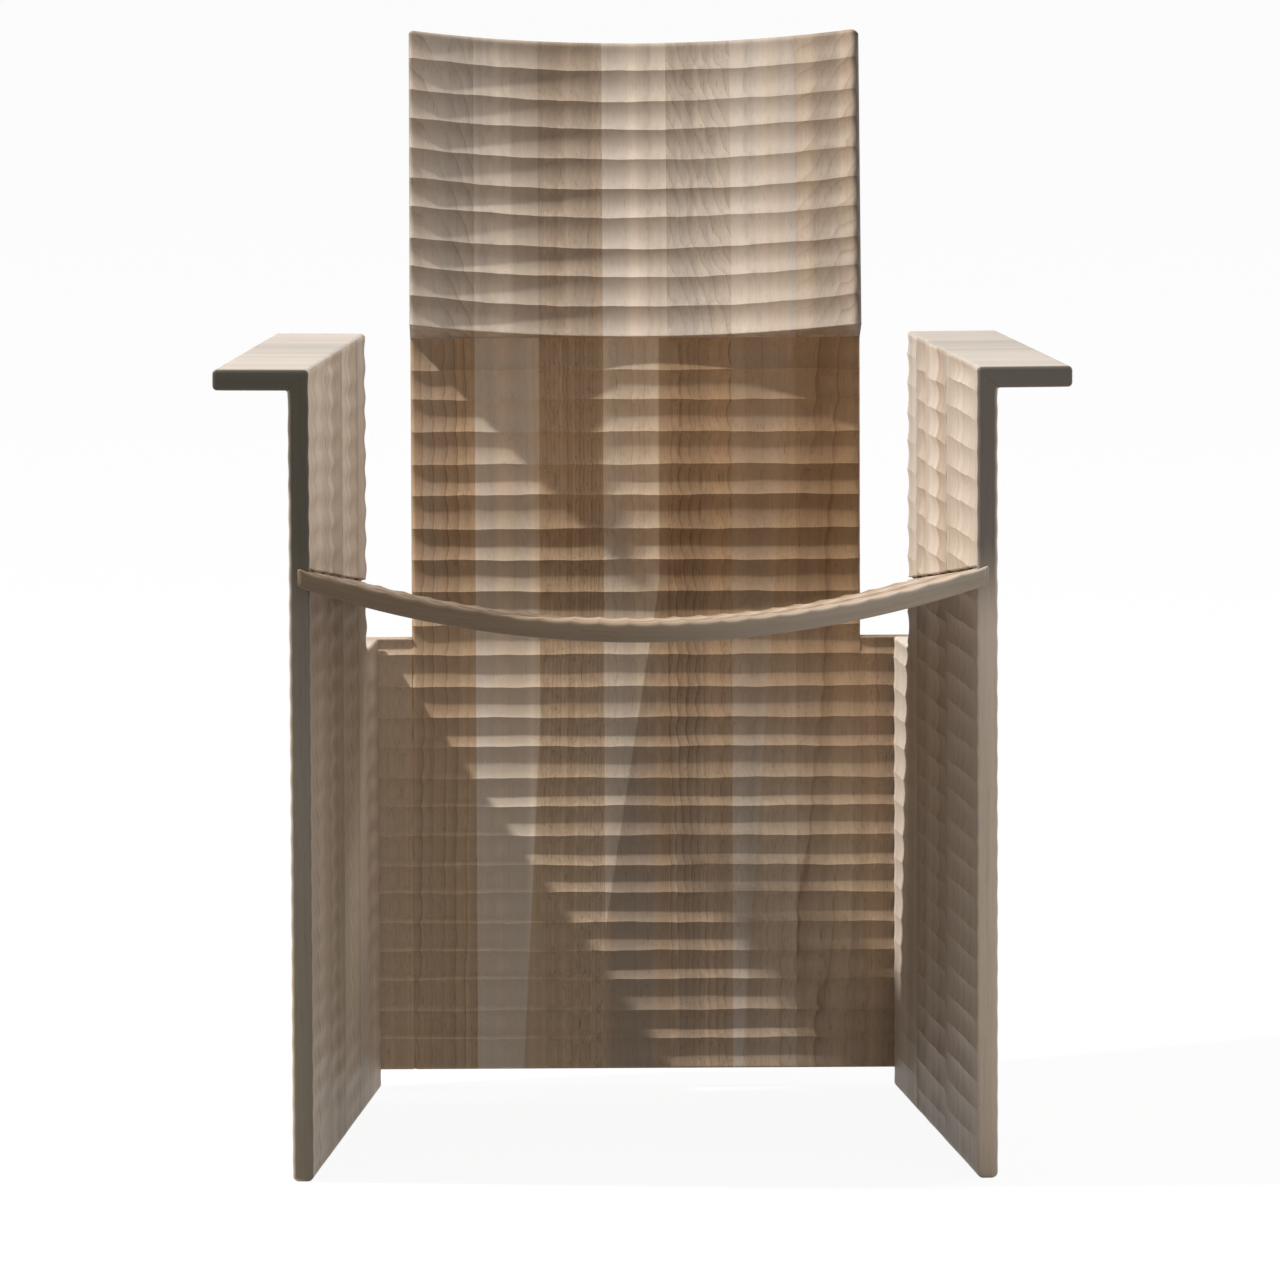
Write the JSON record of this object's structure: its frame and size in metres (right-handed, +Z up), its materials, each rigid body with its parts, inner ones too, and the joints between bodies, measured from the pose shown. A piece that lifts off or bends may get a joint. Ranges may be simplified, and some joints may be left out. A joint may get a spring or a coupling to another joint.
{
  "type": "armchair",
  "caption": "Wooden armchair of glued staves with gouge-worked panels: toed-in sides turned out into flat arms, dished seat, upright back board and hollowed headrest.",
  "frame": {"origin": "on the floor, under the middle of the chair's bounding box", "axes": "+X to the right as seen from the front, +Y from front to rear, +Z up"},
  "size_m": [0.6854, 0.6257, 0.9034],
  "materials": {
    "pale_wood": "pale greyed hardwood, oiled, worked in rows with a gouge",
    "tan_wood": "tan hardwood, oiled, worked in rows with a gouge",
    "brown_wood": "mid-brown hardwood, oiled, worked in rows with a gouge",
    "dark_wood": "dark brown heartwood, oiled, worked in rows with a gouge"
  },
  "bodies": {
    "root": {"left_side_stave_1": "tan_wood", "left_side_stave_2": "pale_wood", "left_side_stave_3": "tan_wood", "left_side_stave_4": "brown_wood", "left_side_stave_5": "pale_wood", "left_side_stave_6": "tan_wood", "left_side_stave_7": "pale_wood", "left_rear_stave": "tan_wood", "left_arm_stave_1": "tan_wood", "left_arm_stave_2": "pale_wood", "left_arm_stave_3": "tan_wood", "left_arm_stave_4": "brown_wood", "left_arm_stave_5": "pale_wood", "left_arm_stave_6": "tan_wood", "left_arm_stave_7": "pale_wood", "left_arm_spline": "brown_wood", "right_side_stave_1": "tan_wood", "right_side_stave_2": "pale_wood", "right_side_stave_3": "tan_wood", "right_side_stave_4": "brown_wood", "right_side_stave_5": "pale_wood", "right_side_stave_6": "tan_wood", "right_side_stave_7": "pale_wood", "right_rear_stave": "tan_wood", "right_arm_stave_1": "tan_wood", "right_arm_stave_2": "pale_wood", "right_arm_stave_3": "tan_wood", "right_arm_stave_4": "brown_wood", "right_arm_stave_5": "pale_wood", "right_arm_stave_6": "tan_wood", "right_arm_stave_7": "pale_wood", "right_arm_spline": "brown_wood", "seat_slat_1": "brown_wood", "seat_slat_2": "tan_wood", "seat_slat_3": "brown_wood", "seat_slat_4": "tan_wood", "seat_slat_5": "pale_wood", "seat_slat_6": "tan_wood", "seat_slat_7": "brown_wood", "back_stave_1": "brown_wood", "back_stave_2": "pale_wood", "back_stave_3": "dark_wood", "back_stave_4": "pale_wood", "back_stave_5": "dark_wood", "back_stave_6": "tan_wood", "back_stave_7": "brown_wood", "left_back_wing": "brown_wood", "left_back_tongue": "brown_wood", "right_back_wing": "brown_wood", "right_back_tongue": "brown_wood", "headrest_stave_1": "brown_wood", "headrest_stave_2": "pale_wood", "headrest_stave_3": "dark_wood", "headrest_stave_4": "pale_wood", "headrest_stave_5": "dark_wood", "headrest_stave_6": "tan_wood", "headrest_stave_7": "brown_wood", "headrest_tongue": "brown_wood"}
  },
  "joints": []
}
